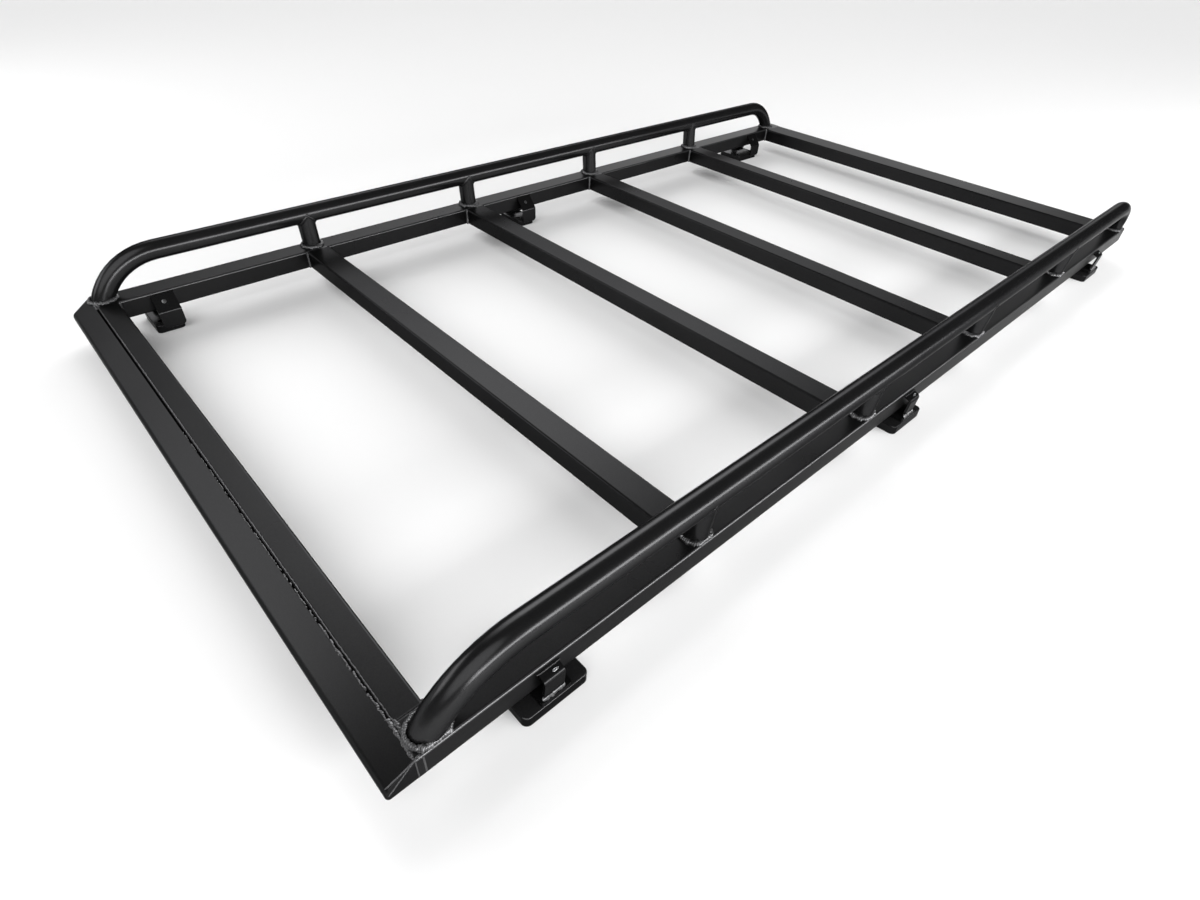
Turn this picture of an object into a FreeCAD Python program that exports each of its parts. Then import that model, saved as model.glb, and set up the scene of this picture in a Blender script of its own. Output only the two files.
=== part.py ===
import FreeCAD, Part
import math
import os
import Sketcher

doc = FreeCAD.newDocument("roof_rack")
sizes = doc.addObject("Spreadsheet::Sheet", "Sizes")

# Driving sizes, in millimetres.
# Stations are distances along the rack, measured back from the nose seam.
# What stands near the rear is measured forward from the rear end of the beams.
DRIVING = (
    # Side beams and crossbars
    ("rack_width", 1200),
    ("beam_reach", 2193),
    ("tube_width", 51),
    ("tube_depth", 38),
    ("tube_wall", 2),
    ("tube_corner", 4),
    ("front_tube_width", 40),
    ("front_tube_seam_corner", 7),
    ("rear_bar_width", 76),
    ("plug_thickness", 3),
    ("crossbar_station_1", 442),
    ("crossbar_station_2", 865.5),
    ("crossbar_station_3", 1290),
    ("crossbar_4_to_rear", 464),
    # Folded nose
    ("nose_reach", 36),
    ("nose_drop", 23.4),
    ("nose_sheet", 3),
    ("nose_fold_radius", 12),
    ("nose_lip", 13),
    ("nose_lip_radius", 5),
    ("nose_seat", 0.3),
    ("nose_cap_depth", 8),
    ("nose_cap_edge", 4.5),
    # Side rails and their posts
    ("rail_diameter", 38),
    ("rail_wall", 2),
    ("rail_rise", 68.7),
    ("rail_foot_inset", 22),
    ("rail_lean", 5),
    ("rail_spare_end", 15),
    ("left_front_bend", 138),
    ("left_rear_bend", 76),
    ("left_rail_station", 28),
    ("left_rail_to_rear", 30),
    ("right_front_bend", 132),
    ("right_rear_bend", 104),
    ("right_rail_station", 21),
    ("right_rail_to_rear", 46),
    # Foot trays
    ("beam_clearance", 38),
    ("tray_width", 87),
    ("tray_overhang", 14),
    ("long_tray_length", 98),
    ("short_tray_length", 52),
    ("tray_height", 16),
    ("tray_sheet", 3),
    ("tray_corner", 9),
    ("tray_edge", 2),
    ("tray_hole_diameter", 11),
    ("tray_hole_inset", 14),
    ("tray_hole_line", 51),
    ("pad_length", 45),
    ("pad_width", 25),
    ("pad_height", 8),
    ("pad_edge_gap", 1),
    ("pad_shift", 3),
    ("pad_corner", 3),
    # Foot straps
    ("strap_thickness", 4),
    ("strap_bend_radius", 3),
    ("outer_strap_width", 30),
    ("outer_strap_top", 66),
    ("outer_knee_height", 61),
    ("outer_knee_reach", 13.6),
    ("outer_foot_reach", 10.6),
    ("inner_strap_width", 42),
    ("inner_strap_top", 71),
    ("inner_knee_height", 43),
    ("inner_foot_height", 9),
    ("inner_foot_corner", 8),
    # Feet: each tray and each pair of straps has its own station
    ("left_tray_station_1", 173),
    ("left_tray_station_2", 1006),
    ("left_tray_3_to_rear", 210),
    ("left_strap_station_1", 169),
    ("left_strap_station_2", 1002),
    ("left_strap_3_to_rear", 214),
    ("right_tray_station_1", 106),
    ("right_tray_station_2", 1014),
    ("right_tray_3_to_rear", 194),
    ("right_strap_station_1", 114),
    ("right_strap_station_2", 1022),
    ("right_strap_3_to_rear", 164),
)

# Sizes that follow from the driving ones.
# The seam lies this far in front of the middle of the rack.
DERIVED = [
    ("seam", "-(beam_reach - nose_reach) / 2"),
    ("deck", "beam_clearance + tube_depth"),
    ("half_tube_width", "tube_width / 2"),
    ("half_tube_depth", "tube_depth / 2"),
    ("half_bore_width", "half_tube_width - tube_wall"),
    ("half_bore_depth", "half_tube_depth - tube_wall"),
    ("bore_corner", "tube_corner - tube_wall"),
    ("half_front_width", "front_tube_width / 2"),
    ("half_front_bore", "half_front_width - tube_wall"),
    ("seam_bore_corner", "front_tube_seam_corner - tube_wall"),
    ("half_rear_width", "rear_bar_width / 2"),
    ("half_rear_bore", "half_rear_width - tube_wall"),
    ("tube_height", "beam_clearance + half_tube_depth"),
    ("beam_length", "beam_reach - plug_thickness"),
    ("beam_middle", "seam + beam_length / 2"),
    ("plug_middle", "seam + beam_length + plug_thickness / 2"),
    ("beam_side", "(rack_width - tube_width) / 2"),
    ("outer_face", "rack_width / 2"),
    ("inner_face", "outer_face - tube_width"),
    ("crossbar_length", "inner_face * 2"),
    ("crossbar_station_4", "beam_reach - crossbar_4_to_rear"),
    ("front_middle", "seam + half_front_width"),
    ("rear_middle", "seam + beam_reach - half_rear_width"),
    # Nose: the slope carries its thickness downwards, the front carries it backwards
    ("nose_slope", "nose_drop / nose_reach"),
    ("nose_sheet_drop", "nose_sheet * sqrt(1 + nose_slope ^ 2)"),
    ("nose_inside", "nose_reach - nose_sheet"),
    ("nose_inside_drop", "nose_inside * nose_slope + nose_sheet_drop"),
    ("nose_lip_top", "tube_depth - nose_sheet"),
    ("nose_lip_end", "nose_reach - nose_lip"),
    ("nose_seat_rise", "nose_seat * nose_slope"),
    ("nose_seat_drop", "nose_sheet_drop - nose_seat_rise"),
    ("nose_cap_inner", "outer_face - nose_cap_depth"),
    ("nose_cap_hollow", "nose_cap_depth - nose_sheet"),
    ("nose_cap_back_drop", "nose_sheet * nose_slope + nose_sheet_drop"),
    ("nose_length", "nose_cap_inner * 2"),
    ("nose_fold_inside", "nose_fold_radius - nose_sheet"),
    ("nose_lip_inside", "nose_lip_radius - nose_sheet"),
    # Rail
    ("rail_radius", "rail_diameter / 2"),
    ("rail_bore", "rail_radius - rail_wall"),
    ("rail_side", "outer_face - rail_foot_inset"),
    ("left_rail_run", "beam_reach - left_rail_to_rear - left_rail_station"),
    ("right_rail_run", "beam_reach - right_rail_to_rear - right_rail_station"),
    ("post_length", "rail_rise * 2"),
    # Feet
    ("tray_side", "outer_face + tray_overhang - tray_width / 2"),
    ("half_tray_width", "tray_width / 2"),
    ("half_tray_bore", "half_tray_width - tray_sheet"),
    ("half_long_tray", "long_tray_length / 2"),
    ("half_long_bore", "half_long_tray - tray_sheet"),
    ("half_short_tray", "short_tray_length / 2"),
    ("half_short_bore", "half_short_tray - tray_sheet"),
    ("tray_bore_depth", "tray_height - tray_sheet"),
    ("tray_bore_corner", "tray_corner - tray_sheet"),
    ("tray_hole_radius", "tray_hole_diameter / 2"),
    ("tray_hole_offset", "tray_side - outer_face + tray_hole_line"),
    ("long_hole_offset", "half_long_tray - tray_hole_inset"),
    ("short_hole_offset", "half_short_tray - tray_hole_inset"),
    ("half_pad_length", "pad_length / 2"),
    ("half_pad_width", "pad_width / 2"),
    ("pad_side", "outer_face + tray_overhang - pad_edge_gap - half_pad_width"),
    ("pad_top", "tray_height + pad_height"),
    ("outer_foot_height", "pad_top"),
    ("inner_foot_reach", "tray_width - tray_overhang - tube_width + strap_thickness"),
    ("inner_knee_reach", "inner_foot_reach"),
    ("half_inner_strap", "inner_strap_width / 2"),
    ("strap_outer_bend", "strap_bend_radius + strap_thickness"),
    ("left_tray_station_3", "beam_reach - left_tray_3_to_rear"),
    ("left_strap_station_3", "beam_reach - left_strap_3_to_rear"),
    ("right_tray_station_3", "beam_reach - right_tray_3_to_rear"),
    ("right_strap_station_3", "beam_reach - right_strap_3_to_rear"),
]

# A strap slopes down from the beam to its knee. From there an outer strap leans back
# to a pad on its tray, and an inner one runs straight down against the tray's side.
# The inside of its knee is where the inside faces of the two flats cross.
for kind in ("outer", "inner"):
    reach = kind + "_knee_reach"
    foot = kind + "_foot_reach"
    height = kind + "_knee_height"
    ground = kind + "_foot_height"
    top = kind + "_strap_top"
    DERIVED.extend((
        (kind + "_slope", "(%s - %s) / %s" % (top, height, reach)),
        (kind + "_lean", "(%s - %s) / (%s - %s)" % (reach, foot, height, ground)),
        (kind + "_under", "%s - strap_thickness * sqrt(1 + %s_slope ^ 2)" % (top, kind)),
        (kind + "_heel", "%s - strap_thickness * sqrt(1 + %s_lean ^ 2)" % (foot, kind)),
        (
            kind + "_crook_height",
            "(%s_under - %s_slope * (%s_heel - %s_lean * %s)) / (1 + %s_slope * %s_lean)"
            % (kind, kind, kind, kind, ground, kind, kind),
        ),
        (
            kind + "_crook_reach",
            "%s_heel + %s_lean * (%s_crook_height - %s)" % (kind, kind, kind, ground),
        ),
    ))

# Each pad lies a little behind the middle of its straps.
for hand in ("left", "right"):
    for number in range(1, 4):
        middle = "%s_strap_station_%d + pad_shift" % (hand, number)
        DERIVED.append(("%s_%d_pad_front" % (hand, number), middle + " - half_pad_length"))
        DERIVED.append(("%s_%d_pad_rear" % (hand, number), middle + " + half_pad_length"))

for row, (alias, entry) in enumerate(DRIVING + tuple(DERIVED), 1):
    sizes.set("A%d" % row, alias)
    sizes.set("B%d" % row, str(entry) if row <= len(DRIVING) else "=" + entry)
    sizes.setAlias("B%d" % row, alias)
doc.recompute()


def amount(term):
    """Value of a size, of a size with a minus sign, or of the plain term 0."""
    if term == "0":
        return 0.0
    if term.startswith("-"):
        return -amount(term[1:])
    return float(getattr(sizes, term))


def formula(terms):
    """Expression that adds the named sizes."""
    words = []
    for term in terms.split():
        if term.startswith("-"):
            words.append("-Sizes." + term[1:])
        elif term == "+":
            words.append(term)
        else:
            words.append("Sizes." + term)
    return " ".join(words)


def turn_about(across, along, up, angle):
    """Placement at the origin, turned about an axis by an angle in degrees."""
    turn = FreeCAD.Rotation(FreeCAD.Vector(across, along, up), angle)
    return FreeCAD.Placement(FreeCAD.Vector(0, 0, 0), turn)


def new_body(label, side, station, height, turned=False):
    """Body placed at side, station and height; turned means half a turn about the vertical."""
    body = doc.addObject("PartDesign::Body", label)
    body.Label = label
    if turned:
        body.Placement = turn_about(0, 0, 1, 180)
    for axis, terms in (("x", side), ("y", station), ("z", height)):
        if terms != "0":
            body.setExpression("Placement.Base." + axis, formula(terms))
    return body


def new_sketch(body, name, plane):
    """Empty sketch on one of the body's own origin planes."""
    sketch = body.newObject("Sketcher::SketchObject", name)
    base = [item for item in body.Origin.OriginFeatures if item.Role == plane + "_Plane"][0]
    sketch.AttachmentSupport = [(base, "")]
    sketch.MapMode = "FlatFace"
    return sketch


def dimension(sketch, name, kind, places, term):
    """Named dimension of a sketch, bound to a size."""
    index = sketch.addConstraint(Sketcher.Constraint(kind, *places, amount(term)))
    sketch.renameConstraint(index, name)
    sketch.setExpression("Constraints." + name, formula(term))


def pin(sketch, name, curve, point, across, up):
    """Holds a point of a curve at a place given by two sizes."""
    if across == "0":
        sketch.addConstraint(Sketcher.Constraint("PointOnObject", curve, point, -2))
    else:
        dimension(sketch, name + "_across", "DistanceX", (-1, 1, curve, point), across)
    if up == "0":
        sketch.addConstraint(Sketcher.Constraint("PointOnObject", curve, point, -1))
    else:
        dimension(sketch, name + "_up", "DistanceY", (-1, 1, curve, point), up)


def add_outline(sketch, name, corners):
    """Closed outline of straight lines through the corners."""
    points = [FreeCAD.Vector(amount(across), amount(up), 0) for across, up in corners]
    lines = []
    for index, point in enumerate(points):
        end = points[(index + 1) % len(points)]
        lines.append(sketch.addGeometry(Part.LineSegment(point, end), False))
    for index, line in enumerate(lines):
        following = lines[(index + 1) % len(lines)]
        sketch.addConstraint(Sketcher.Constraint("Coincident", line, 2, following, 1))
    for index, (across, up) in enumerate(corners):
        pin(sketch, "%s_%d" % (name, index + 1), lines[index], 1, across, up)


def add_circle(sketch, name, across, up, radius):
    """Circle about a place given by two sizes."""
    centre = FreeCAD.Vector(amount(across), amount(up), 0)
    circle = Part.Circle(centre, FreeCAD.Vector(0, 0, 1), amount(radius))
    curve = sketch.addGeometry(circle, False)
    pin(sketch, name, curve, 3, across, up)
    dimension(sketch, name + "_radius", "Radius", (curve,), radius)


def box_corners(half_width, half_depth):
    """Corners of a rectangle about the sketch origin."""
    return (
        ("-" + half_width, "-" + half_depth),
        (half_width, "-" + half_depth),
        (half_width, half_depth),
        ("-" + half_width, half_depth),
    )


def pad(body, sketch, name, length, middle=True, backwards=False):
    """Solid made from a sketch, to both sides of it or to one side."""
    feature = body.newObject("PartDesign::Pad", name)
    feature.Profile = sketch
    feature.Length = amount(length)
    feature.setExpression("Length", formula(length))
    if middle:
        feature.SideType = "Symmetric"
    feature.Reversed = backwards
    doc.recompute()
    return feature


def pocket(body, sketch, name, depth=None, both=False, backwards=False):
    """Cut made from a sketch, to a depth or right through; it has to take material away."""
    before = body.Shape.Volume
    feature = body.newObject("PartDesign::Pocket", name)
    feature.Profile = sketch
    if depth:
        feature.Length = amount(depth)
        feature.setExpression("Length", formula(depth))
    else:
        feature.Type = "ThroughAll"
    if both:
        feature.SideType = "Symmetric"
    feature.Reversed = backwards
    doc.recompute()
    if not body.Shape.Volume < before:
        raise RuntimeError("cut takes nothing away: " + name)
    return feature


def edges_at(feature, plane, corners):
    """Edges that stand on the corners of an outline, as seen square to its plane."""
    axes = {"XY": "xy", "XZ": "xz", "YZ": "yz"}[plane]
    places = [(amount(across), amount(up)) for across, up in corners]
    found = []
    for index, edge in enumerate(feature.Shape.Edges):
        centre = edge.CenterOfMass
        here = [getattr(centre, axis) for axis in axes]
        for place in places:
            if abs(here[0] - place[0]) < 0.01 and abs(here[1] - place[1]) < 0.01:
                found.append("Edge%d" % (index + 1))
    if len(found) != len(places):
        raise RuntimeError("wrong number of edges at the corners: %d" % len(found))
    return found


def round_edges(body, name, radius, edges):
    """Fillet along the named edges of the body's last feature."""
    last = body.Tip
    feature = body.newObject("PartDesign::Fillet", name)
    feature.Base = (last, edges)
    feature.Radius = amount(radius)
    feature.setExpression("Radius", formula(radius))
    doc.recompute()


def round_corners(body, name, radius, plane, corners):
    """Fillet along the edges that stand on some corners of an outline."""
    round_edges(body, name, radius, edges_at(body.Tip, plane, corners))


def box_tube(label, plane, half_width, half_bore, length, side, station, seam_edge=False):
    """Rectangular hollow section with rounded corners, level with the deck."""
    body = new_body(label, side, station, "tube_height")
    section = new_sketch(body, label + "_section", plane)
    outside = box_corners(half_width, "half_tube_depth")
    inside = box_corners(half_bore, "half_bore_depth")
    add_outline(section, "outside", outside)
    add_outline(section, "inside", inside)
    doc.recompute()
    pad(body, section, label + "_length", length)
    if seam_edge:
        # The last corner is the upper front one, which is rounder for the seam weld
        round_corners(body, label + "_seam_corner", "front_tube_seam_corner", plane, outside[3:])
        round_corners(body, label + "_seam_bore", "seam_bore_corner", plane, inside[3:])
        outside = outside[:3]
        inside = inside[:3]
    round_corners(body, label + "_corners", "tube_corner", plane, outside)
    round_corners(body, label + "_bore_corners", "bore_corner", plane, inside)
    return body


def beam_plug(label, side):
    """Flat plate that closes the rear end of a side beam."""
    body = new_body(label, side, "plug_middle", "tube_height")
    section = new_sketch(body, label + "_outline", "XZ")
    corners = box_corners("half_tube_width", "half_tube_depth")
    add_outline(section, "outside", corners)
    doc.recompute()
    pad(body, section, label + "_plate", "plug_thickness")
    round_corners(body, label + "_corners", "tube_corner", "XZ", corners)
    return body


def nose_plate(label):
    """Folded sheet: sloped top, upright front and a lip turned back underneath."""
    body = new_body(label, "0", "seam", "deck")
    section = new_sketch(body, label + "_section", "YZ")
    fold = ("-nose_reach", "-nose_drop")
    toe = ("-nose_reach", "-tube_depth")
    fold_inside = ("-nose_inside", "-nose_inside_drop")
    toe_inside = ("-nose_inside", "-nose_lip_top")
    add_outline(section, "sheet", (
        ("nose_seat", "nose_seat_rise"),
        fold,
        toe,
        ("-nose_lip_end", "-tube_depth"),
        ("-nose_lip_end", "-nose_lip_top"),
        toe_inside,
        fold_inside,
        ("nose_seat", "-nose_seat_drop"),
    ))
    doc.recompute()
    pad(body, section, label + "_length", "nose_length")
    round_corners(body, label + "_fold", "nose_fold_radius", "YZ", (fold,))
    round_corners(body, label + "_fold_inside", "nose_fold_inside", "YZ", (fold_inside,))
    round_corners(body, label + "_toe", "nose_lip_radius", "YZ", (toe,))
    round_corners(body, label + "_toe_inside", "nose_lip_inside", "YZ", (toe_inside,))
    return body


def nose_cap(label, side, right):
    """Hollow end cap of the nose, with the outline of the folded sheet."""
    body = new_body(label, side, "seam", "deck")
    section = new_sketch(body, label + "_outline", "YZ")
    fold = ("-nose_reach", "-nose_drop")
    toe = ("-nose_reach", "-tube_depth")
    add_outline(section, "plate", (("0", "0"), fold, toe, ("0", "-tube_depth")))
    doc.recompute()
    pad(body, section, label + "_block", "nose_cap_depth", False, right)
    round_corners(body, label + "_fold", "nose_fold_radius", "YZ", (fold,))
    round_corners(body, label + "_toe", "nose_lip_radius", "YZ", (toe,))
    # The edge of the end face is rounded, but for its side on the beam
    rim = []
    for index, edge in enumerate(body.Tip.Shape.Edges):
        box = edge.BoundBox
        outside = min(abs(box.XMin), abs(box.XMax)) > amount("nose_cap_depth") - 0.01
        if outside and box.YLength > 0.01:
            rim.append("Edge%d" % (index + 1))
        elif outside and box.YMax < -amount("nose_sheet"):
            rim.append("Edge%d" % (index + 1))
    round_edges(body, label + "_rim", "nose_cap_edge", rim)
    inside = new_sketch(body, label + "_inside", "YZ")
    add_outline(inside, "inside", (
        ("-nose_sheet", "-nose_cap_back_drop"),
        ("-nose_inside", "-nose_inside_drop"),
        ("-nose_inside", "-nose_lip_top"),
        ("-nose_sheet", "-nose_lip_top"),
    ))
    doc.recompute()
    pocket(body, inside, label + "_hollow", "nose_cap_hollow", backwards=not right)
    return body


def bend(centre, radius, start, end):
    """Arc of a tube's centreline."""
    circle = Part.Circle(centre, FreeCAD.Vector(0, 0, 1), radius)
    return Part.ArcOfCircle(circle, start, end)


def lean_outwards(body, right):
    """Tilts a body about the rack's long axis, away from the middle of the rack."""
    body.Placement = turn_about(0, -1 if right else 1, 0, amount("rail_lean"))
    body.setExpression("Placement.Rotation.Angle", formula("rail_lean"))


def trim_below(body, label, right, places):
    """Cuts a leaning tube off level with the top of the beam, at places along it."""
    below = new_sketch(body, label + "_below", "XY")
    below.AttachmentOffset = turn_about(0, 1 if right else -1, 0, amount("rail_lean"))
    below.setExpression("AttachmentOffset.Rotation.Angle", formula("rail_lean"))
    for number, place in enumerate(places, 1):
        add_circle(below, "area_%d" % number, "0", place, "rail_diameter")
    doc.recompute()
    pocket(body, below, label + "_trim")


def side_rail(label, hand, right):
    """Bent tube: long sweep down at the front and a tighter one at the rear."""
    sign = "-" if right else ""
    body = new_body(label, sign + "rail_side", "seam + %s_rail_station" % hand, "deck")
    lean_outwards(body, right)
    rise = amount("rail_rise")
    front = amount(hand + "_front_bend")
    rear = amount(hand + "_rear_bend")
    run = amount(hand + "_rail_run")
    spare = amount("rail_spare_end")
    front_middle = math.sqrt(front ** 2 - (front - rise) ** 2)
    rear_middle = run - math.sqrt(rear ** 2 - (rear - rise) ** 2)
    front_end = math.pi - math.asin((front - rise - spare) / front)
    rear_end = math.asin((rear - rise - spare) / rear)
    front_centre = FreeCAD.Vector(front_middle, rise - front, 0)
    rear_centre = FreeCAD.Vector(rear_middle, rise - rear, 0)
    top_front = FreeCAD.Vector(front_middle, rise, 0)
    top_rear = FreeCAD.Vector(rear_middle, rise, 0)
    path = new_sketch(body, label + "_path", "YZ")
    sweep = path.addGeometry(bend(front_centre, front, math.pi / 2, front_end), False)
    top = path.addGeometry(Part.LineSegment(top_front, top_rear), False)
    elbow = path.addGeometry(bend(rear_centre, rear, rear_end, math.pi / 2), False)
    landing = path.addGeometry(Part.Point(FreeCAD.Vector(run, 0, 0)), True)
    for kind, places in (
        ("Tangent", (sweep, 1, top, 1)),
        ("Horizontal", (top,)),
        ("Tangent", (top, 2, elbow, 2)),
        ("PointOnObject", (-1, 1, sweep)),
        ("PointOnObject", (landing, 1, -1)),
        ("PointOnObject", (landing, 1, elbow)),
    ):
        path.addConstraint(Sketcher.Constraint(kind, *places))
    dimension(path, "sweep_radius", "Radius", (sweep,), hand + "_front_bend")
    dimension(path, "elbow_radius", "Radius", (elbow,), hand + "_rear_bend")
    dimension(path, "run", "DistanceX", (-1, 1, landing, 1), hand + "_rail_run")
    dimension(path, "rise", "DistanceY", (-1, 1, top, 1), "rail_rise")
    dimension(path, "front_spare", "DistanceY", (sweep, 2, -1, 1), "rail_spare_end")
    dimension(path, "rear_spare", "DistanceY", (elbow, 1, -1, 1), "rail_spare_end")
    doc.recompute()
    section = body.newObject("Sketcher::SketchObject", label + "_section")
    section.AttachmentSupport = [(path, "Edge1")]
    section.MapMode = "NormalToEdge"
    section.MapPathParameter = 1
    add_circle(section, "outside", "0", "0", "rail_radius")
    add_circle(section, "inside", "0", "0", "rail_bore")
    doc.recompute()
    tube = body.newObject("PartDesign::AdditivePipe", label + "_tube")
    tube.Profile = section
    tube.Spine = (path, [])
    doc.recompute()
    trim_below(body, label, right, ("0", hand + "_rail_run"))
    return body


def rail_post(label, station, right):
    """Leaning tube, hollowed at the top to fit round the rail."""
    sign = "-" if right else ""
    body = new_body(label, sign + "rail_side", "seam + " + station, "deck")
    lean_outwards(body, right)
    section = new_sketch(body, label + "_section", "XY")
    add_circle(section, "outside", "0", "0", "rail_radius")
    add_circle(section, "inside", "0", "0", "rail_bore")
    doc.recompute()
    pad(body, section, label + "_height", "post_length")
    saddle = new_sketch(body, label + "_saddle", "XZ")
    add_circle(saddle, "rail", "0", "rail_rise", "rail_radius")
    doc.recompute()
    pocket(body, saddle, label + "_cope", both=True)
    trim_below(body, label, right, ("0",))
    return body


def foot_tray(label, length, turned, station):
    """Inverted tray with rounded corners and two bolt holes in its top."""
    side = "-tray_side" if turned else "tray_side"
    body = new_body(label, side, "seam + " + station, "0", turned)
    plan = new_sketch(body, label + "_plan", "XY")
    corners = box_corners("half_tray_width", "half_%s_tray" % length)
    add_outline(plan, "outside", corners)
    doc.recompute()
    pad(body, plan, label + "_block", "tray_height", False)
    round_corners(body, label + "_corners", "tray_corner", "XY", corners)
    upper = []
    for index, edge in enumerate(body.Tip.Shape.Edges):
        if abs(edge.BoundBox.ZMin - amount("tray_height")) < 0.01:
            upper.append("Edge%d" % (index + 1))
    round_edges(body, label + "_top_edge", "tray_edge", upper)
    inside = new_sketch(body, label + "_inside", "XY")
    corners = box_corners("half_tray_bore", "half_%s_bore" % length)
    add_outline(inside, "inside", corners)
    doc.recompute()
    pocket(body, inside, label + "_hollow", "tray_bore_depth", backwards=True)
    round_corners(body, label + "_hollow_corners", "tray_bore_corner", "XY", corners)
    holes = new_sketch(body, label + "_hole_places", "XY")
    hole_offset = "%s_hole_offset" % length
    for name, along in (("front", "-" + hole_offset), ("rear", hole_offset)):
        add_circle(holes, name, "-tray_hole_offset", along, "tray_hole_radius")
    doc.recompute()
    pocket(body, holes, label + "_holes", backwards=True)
    return body


def foot_pads(label, turned, stations):
    """Raised blocks on the outer edge of the trays of one side."""
    side = "-pad_side" if turned else "pad_side"
    body = new_body(label, side, "seam", "tray_height")
    body.AllowCompound = True
    plan = new_sketch(body, label + "_plan", "XY")
    for number, station in enumerate(stations, 1):
        add_outline(plan, "block_%d" % number, (
            ("-half_pad_width", station + "_pad_front"),
            ("half_pad_width", station + "_pad_front"),
            ("half_pad_width", station + "_pad_rear"),
            ("-half_pad_width", station + "_pad_rear"),
        ))
    doc.recompute()
    pad(body, plan, label + "_blocks", "pad_height", False)
    upright = []
    for index, edge in enumerate(body.Tip.Shape.Edges):
        if edge.BoundBox.ZLength > amount("pad_height") / 2:
            upright.append("Edge%d" % (index + 1))
    round_edges(body, label + "_corners", "pad_corner", upright)
    return body


def foot_strap(label, kind, side, station, turned):
    """Bent flat strip from the side of the beam down to the foot."""
    body = new_body(label, side, "seam + " + station, "0", turned)
    section = new_sketch(body, label + "_section", "XZ")
    knee = (kind + "_knee_reach", kind + "_knee_height")
    crook = (kind + "_crook_reach", kind + "_crook_height")
    add_outline(section, "strip", (
        ("0", kind + "_strap_top"),
        knee,
        (kind + "_foot_reach", kind + "_foot_height"),
        (kind + "_heel", kind + "_foot_height"),
        crook,
        ("0", kind + "_under"),
    ))
    doc.recompute()
    pad(body, section, label + "_width", kind + "_strap_width")
    round_corners(body, label + "_knee", "strap_outer_bend", "XZ", (knee,))
    round_corners(body, label + "_crook", "strap_bend_radius", "XZ", (crook,))
    if kind == "inner":
        round_corners(body, label + "_foot", "inner_foot_corner", "YZ", (
            ("-half_inner_strap", "inner_foot_height"),
            ("half_inner_strap", "inner_foot_height"),
        ))
    return body


SIDES = (("left", "", False), ("right", "-", True))
parts = []

# Deck frame
for hand, sign, turned in SIDES:
    label = "side_beam_" + hand
    parts.append(box_tube(
        label, "XZ", "half_tube_width", "half_bore_width",
        "beam_length", sign + "beam_side", "beam_middle",
    ))
    parts.append(beam_plug("beam_end_plug_" + hand, sign + "beam_side"))
parts.append(box_tube(
    "front_cross_tube", "YZ", "half_front_width", "half_front_bore",
    "crossbar_length", "0", "front_middle", True,
))
for number in range(1, 5):
    parts.append(box_tube(
        "crossbar_%d" % number, "YZ", "half_tube_width", "half_bore_width",
        "crossbar_length", "0", "seam + crossbar_station_%d" % number,
    ))
parts.append(box_tube(
    "rear_crossbar", "YZ", "half_rear_width", "half_rear_bore",
    "crossbar_length", "0", "rear_middle",
))

# Folded nose across the front
parts.append(nose_plate("front_nose_plate"))
for hand, sign, right in SIDES:
    parts.append(nose_cap("nose_end_cap_" + hand, sign + "nose_cap_inner", right))

# Side rails on posts over the crossbars
for hand, sign, right in SIDES:
    parts.append(side_rail("side_rail_" + hand, hand, right))
    for number in range(1, 5):
        station = "crossbar_station_%d" % number
        parts.append(rail_post("rail_post_%s_%d" % (hand, number), station, right))

# Feet
TRAY_LENGTHS = {"left": ("long", "long", "long"), "right": ("short", "short", "long")}
for hand, sign, turned in SIDES:
    stations = []
    for number in range(1, 4):
        length = TRAY_LENGTHS[hand][number - 1]
        tray_station = "%s_tray_station_%d" % (hand, number)
        strap_station = "%s_strap_station_%d" % (hand, number)
        stations.append("%s_%d" % (hand, number))
        parts.append(foot_tray(
            "foot_tray_%s_%d" % (hand, number), length, turned, tray_station,
        ))
        parts.append(foot_strap(
            "outer_strap_%s_%d" % (hand, number), "outer", sign + "outer_face",
            strap_station, turned,
        ))
        parts.append(foot_strap(
            "inner_strap_%s_%d" % (hand, number), "inner", sign + "inner_face",
            strap_station, not turned,
        ))
    parts.append(foot_pads("foot_pads_" + hand, turned, stations))

doc.recompute()
for item in doc.Objects:
    if "Invalid" in item.State or "Error" in item.State:
        raise RuntimeError("%s is not sound: %s" % (item.Label, item.State))
for body in parts:
    if body.Shape.isNull() or not body.Shape.isValid():
        raise RuntimeError("no valid shape: " + body.Label)

os.makedirs("parts", exist_ok=True)
for body in parts:
    body.Shape.exportStep("parts/%s.step" % body.Label)
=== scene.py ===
import math
import random

import bpy
from bpy.props import FloatProperty, FloatVectorProperty, PointerProperty
from mathutils import Matrix, Vector


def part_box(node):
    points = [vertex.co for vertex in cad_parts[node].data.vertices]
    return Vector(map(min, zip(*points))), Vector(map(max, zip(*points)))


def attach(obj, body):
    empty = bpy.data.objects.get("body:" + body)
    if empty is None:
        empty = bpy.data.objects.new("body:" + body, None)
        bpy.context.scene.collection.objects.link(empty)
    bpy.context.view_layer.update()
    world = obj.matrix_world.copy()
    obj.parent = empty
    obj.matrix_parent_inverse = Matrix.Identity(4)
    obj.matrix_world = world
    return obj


bl_info = {
    "name": "Roof Rack Dressing",
    "version": (1, 0, 0),
    "blender": (4, 5, 0),
    "location": "3D View > Sidebar > Rack",
    "description": "Powder coat, welds, screws and a plain studio for a welded roof rack",
    "category": "Object",
}

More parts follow.
